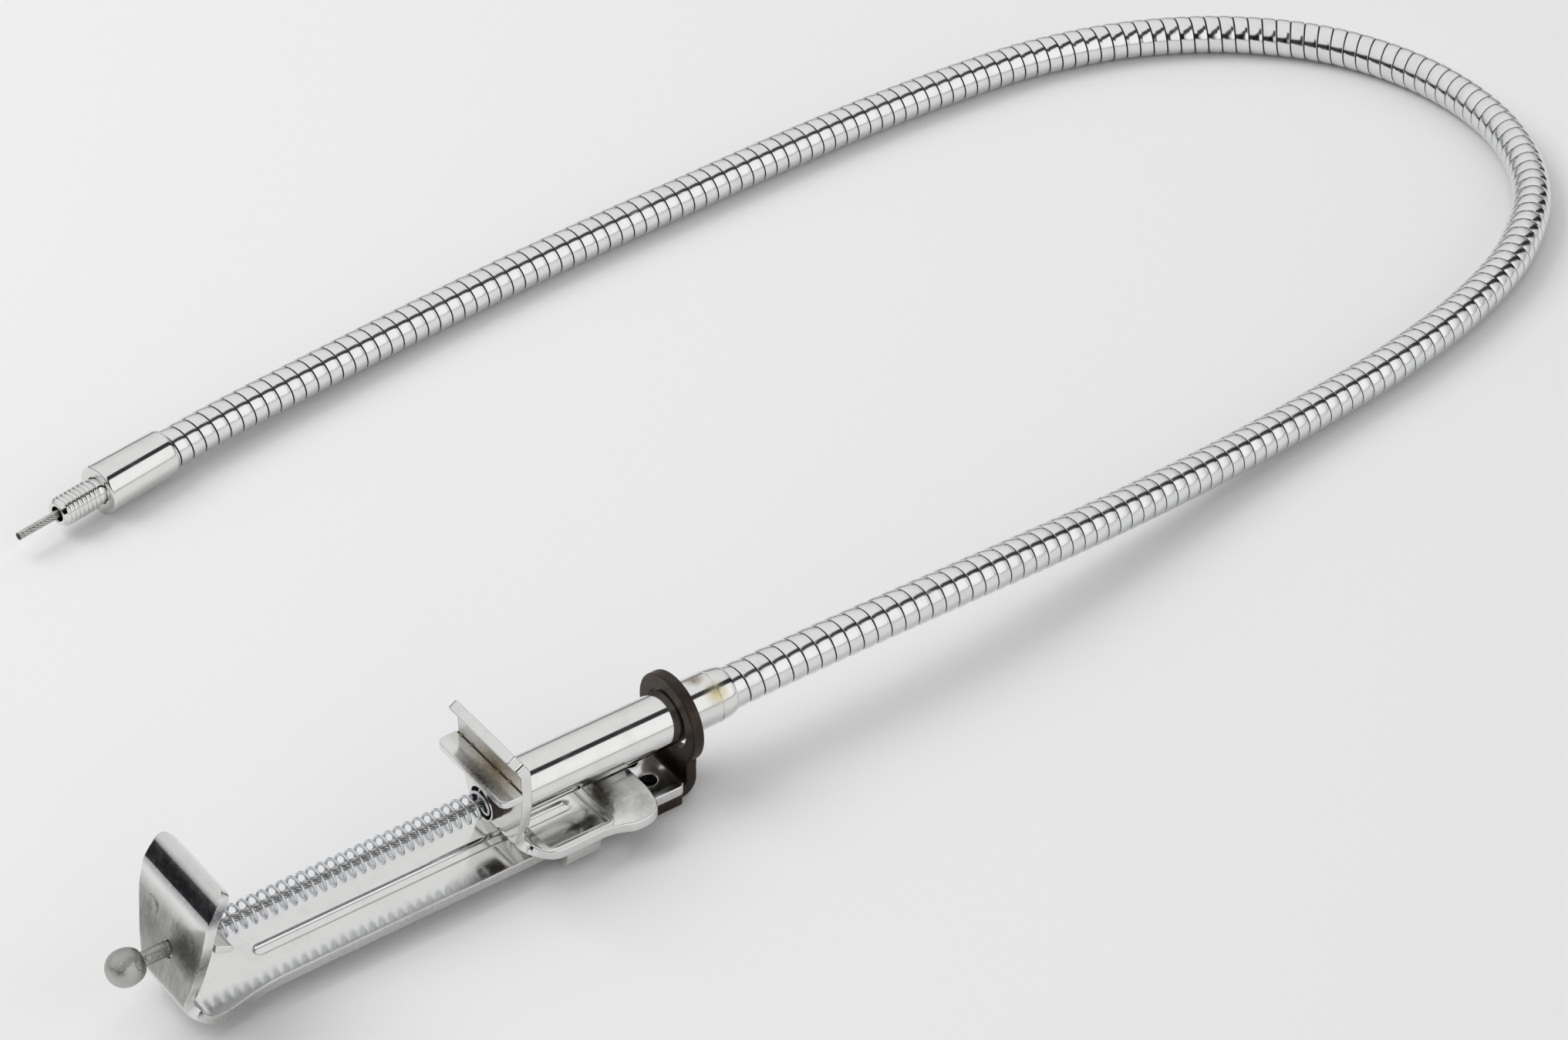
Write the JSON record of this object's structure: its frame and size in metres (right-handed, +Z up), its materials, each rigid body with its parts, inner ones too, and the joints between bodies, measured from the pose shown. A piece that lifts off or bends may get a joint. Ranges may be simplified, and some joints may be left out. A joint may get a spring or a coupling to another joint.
{
  "type": "flexible cable clamp head",
  "caption": "Sprung sliding jaw on a flat rail, fixed jaw on a guide tube and an armoured flexible hose whose pull cable leaves through a threaded fitting.",
  "frame": {"origin": "on the table under the middle of the head: the middle of its length from the ball terminal's front to the guide tube's crimped end, on its plane of symmetry, at the underside of the black bracket's foot", "axes": "+X along the head from the sliding jaw to the hose; +Z up; +Y to the left of someone who looks along +X, which is the side on which the hose comes back"},
  "size_m": [0.373, 0.1614, 0.0305],
  "materials": {
    "chromed_steel": "bright chromed steel, slightly rippled",
    "hose_steel": "bright plated strip, softer than the jaws",
    "zinc_wire": "zinc-plated wire with a cool tint",
    "zinc_casting": "matt grey die casting",
    "strand_steel": "stranded bare steel",
    "black_oxide_steel": "brown-black oxide, satin"
  },
  "bodies": {
    "head": {"rear_jaw_bracket": "chromed_steel", "rear_jaw_ledge": "chromed_steel", "guide_tube": "chromed_steel", "spring_bush": "black_oxide_steel", "return_spring": "zinc_wire", "armoured_hose": "hose_steel", "core_cable": "strand_steel", "fitting_sleeve": "chromed_steel", "threaded_nipple": "chromed_steel"},
    "carriage": {"jaw_rail": "chromed_steel", "front_jaw_ledge": "chromed_steel", "ledge_rivet_near": "chromed_steel", "ledge_rivet_far": "chromed_steel", "guide_eye_bracket": "black_oxide_steel"},
    "pull_end": {"ball_terminal": "zinc_casting", "front_cable": "strand_steel"},
    "tail": {"tail_cable": "strand_steel"}
  },
  "joints": [
    {"name": "jaw_slide", "type": "slide", "parent": "head", "child": "carriage", "axis": [1, 0, 0], "range_m": [0, 0.04], "stiffness_N_per_m": 240, "deforming": ["return_spring"]},
    {"name": "ball_slide", "type": "slide", "parent": "carriage", "child": "pull_end", "axis": [1, 0, 0], "range_m": [0, 0.0045]},
    {"name": "tail_slide", "type": "slide", "parent": "head", "child": "tail", "axis": [-0.9823, -0.1874, 0], "range_m": [0, 0.04]}
  ],
  "couplings": [
    {"joint": "tail_slide", "follows": "jaw_slide", "ratio": 1}
  ]
}
